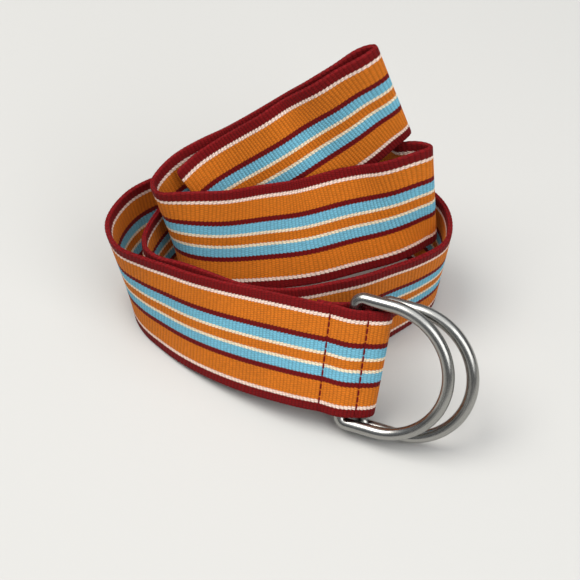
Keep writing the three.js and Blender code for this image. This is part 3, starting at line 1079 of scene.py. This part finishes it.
def wire_ring(name, bar):
    """One D-ring, tilted about its bar, turned with the fan and placed in the folded end."""
    path = ring_path()
    turn = 2 * np.pi * np.arange(WIRE_SIDES) / WIRE_SIDES
    away = (WIRE / 2) * np.cos(turn)[None, :]
    up = (WIRE / 2) * np.sin(turn)[None, :] + np.zeros((len(path), 1))
    ahead = path[:, 0:1] + away * np.cos(path[:, 2:3])
    side = path[:, 1:2] + away * np.sin(path[:, 2:3])
    tilt = bar["tilt"]
    skew = math.atan(FAN * bar["ahead"])
    tilted = ahead * math.cos(tilt) - up * math.sin(tilt)
    out = ahead * math.sin(tilt) + up * math.cos(tilt) + bar["out"]
    forward = tilted * math.cos(skew) - side * math.sin(skew) + bar["ahead"]
    down = tilted * math.sin(skew) + side * math.cos(skew) + bar["down"]
    points = (
        seam_centre
        + forward[..., None] * seam_ahead
        + out[..., None] * seam_out
        - down[..., None] * seam_across
    )
    made = mesh_object(name, points.reshape(-1, 3), tube_faces(len(path), WIRE_SIDES, closed=True))
    run_round = along_distance(path[:, :2])[:, None] + np.zeros_like(up)
    place = np.stack([run_round, away + np.zeros_like(up), up], -1)
    add_place(made, "wire_place", place.reshape(-1, 3))
    return made


front_wire = wire_ring("front_ring_wire", FRONT_BAR)
rear_wire = wire_ring("rear_ring_wire", REAR_BAR)
print("wire rings:", len(front_wire.data.polygons), "faces each")

# %% [markdown]
# ## Brushed and worn steel
# The wire is plain steel with a brushed finish. Fine streaks run along it, so the noise that
# makes them is stretched along the wire, and a fine grain lies over them. Patches where the
# ring was handled more are smoother and a little lighter.

# %% Node group: brushed wire
STREAKS = {"stretch": (0.12, 4.0, 4.0), "rough": (0.17, 0.34), "light": (0.93, 1.04), "height": 0.7}
GRAIN = {"scale": 5.0, "from": 0.35, "to": 0.65, "rough": (-0.03, 0.05), "height": 0.4}
PATCHES = {"scale": 0.16, "from": 0.42, "to": 0.62, "smoother": 0.08, "lighter": 0.07}


def brushed_wire_group():
    """Roughness, relief and shade of a brushed wire."""
    inputs = [("Place", VECTOR, None), ("Wear", FLOAT, 0.5)]
    outputs = [("Roughness", FLOAT), ("Height", FLOAT), ("Shade", FLOAT)]
    tree, given, made = new_group("brushed_wire", inputs, outputs)
    stretched = scaled_vector(tree, given["Place"], STREAKS["stretch"])
    streaks = noise(tree, stretched, scale=1.0, detail=4.0, roughness=0.65)
    grain = noise(tree, given["Place"], GRAIN["scale"], detail=3.0, roughness=0.6)
    patches = noise(tree, given["Place"], PATCHES["scale"], detail=3.0, roughness=0.55)
    handled = remap(tree, patches, PATCHES["from"], PATCHES["to"], smooth=True)
    handled = compute(tree, "MULTIPLY", handled, given["Wear"])

    streak_rough = remap(tree, streaks, NOISE_LOW, NOISE_HIGH, *STREAKS["rough"])
    grain_rough = remap(tree, grain, GRAIN["from"], GRAIN["to"], *GRAIN["rough"])
    worn_rough = compute(tree, "MULTIPLY", handled, -PATCHES["smoother"])
    plug(tree, total(tree, streak_rough, grain_rough, worn_rough), made["Roughness"])

    streak_height = compute(tree, "MULTIPLY", streaks, STREAKS["height"])
    grain_height = compute(tree, "MULTIPLY", grain, GRAIN["height"])
    plug(tree, total(tree, streak_height, grain_height), made["Height"])

    streak_light = remap(tree, streaks, NOISE_LOW, NOISE_HIGH, *STREAKS["light"])
    worn_light = compute(tree, "MULTIPLY", handled, PATCHES["lighter"])
    plug(tree, total(tree, streak_light, worn_light), made["Shade"])
    return tree


brushed_wire = brushed_wire_group()
print("group brushed_wire:", len(brushed_wire.nodes), "nodes")

# %% Steel materials
STEEL = srgb(158, 157, 153)
STEEL_FINISH = {"Metallic": 1.0}
STEEL_BUMP = 0.02 * MM
STEEL_BUMP_STRENGTH = 0.5
FRONT_WEAR, REAR_WEAR = 0.7, 0.4


def steel_material(name, wear):
    """Brushed steel with its own amount of wear."""
    material, tree, shader = new_material(name, STEEL_FINISH)
    brushed = place_group(tree, brushed_wire, Place=kept_place(tree, "wire_place"), Wear=wear)
    tree.links.new(lightened(tree, STEEL[:3], brushed["Shade"]), shader.inputs["Base Color"])
    tree.links.new(brushed["Roughness"], shader.inputs["Roughness"])
    add_bump(tree, shader, brushed["Height"], STEEL_BUMP, STEEL_BUMP_STRENGTH)
    return material


front_wire.data.materials.append(steel_material("front_ring_steel", FRONT_WEAR))
rear_wire.data.materials.append(steel_material("rear_ring_steel", REAR_WEAR))
print("steel materials:", front_wire.data.materials[0].name, "and", rear_wire.data.materials[0].name)

# %% [markdown]
# ## Which body carries what
# The ribbon and its stitches are the belt. Each ring swings about its own bar, so it rides on
# its own body. The imported solids that the ribbons and the wire rings stand for are hidden;
# the stitches are extra, and stand for none.

# %% Ride on the bodies
for piece in (face_ribbon, back_ribbon, stitches):
    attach(piece, "belt")
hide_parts("strap")
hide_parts("strap")
for piece, body, node in ((front_wire, "ring_front", "front_ring"), (rear_wire, "ring_rear", "rear_ring")):
    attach(piece, body)
    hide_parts(node)
print("pieces ride on their bodies")
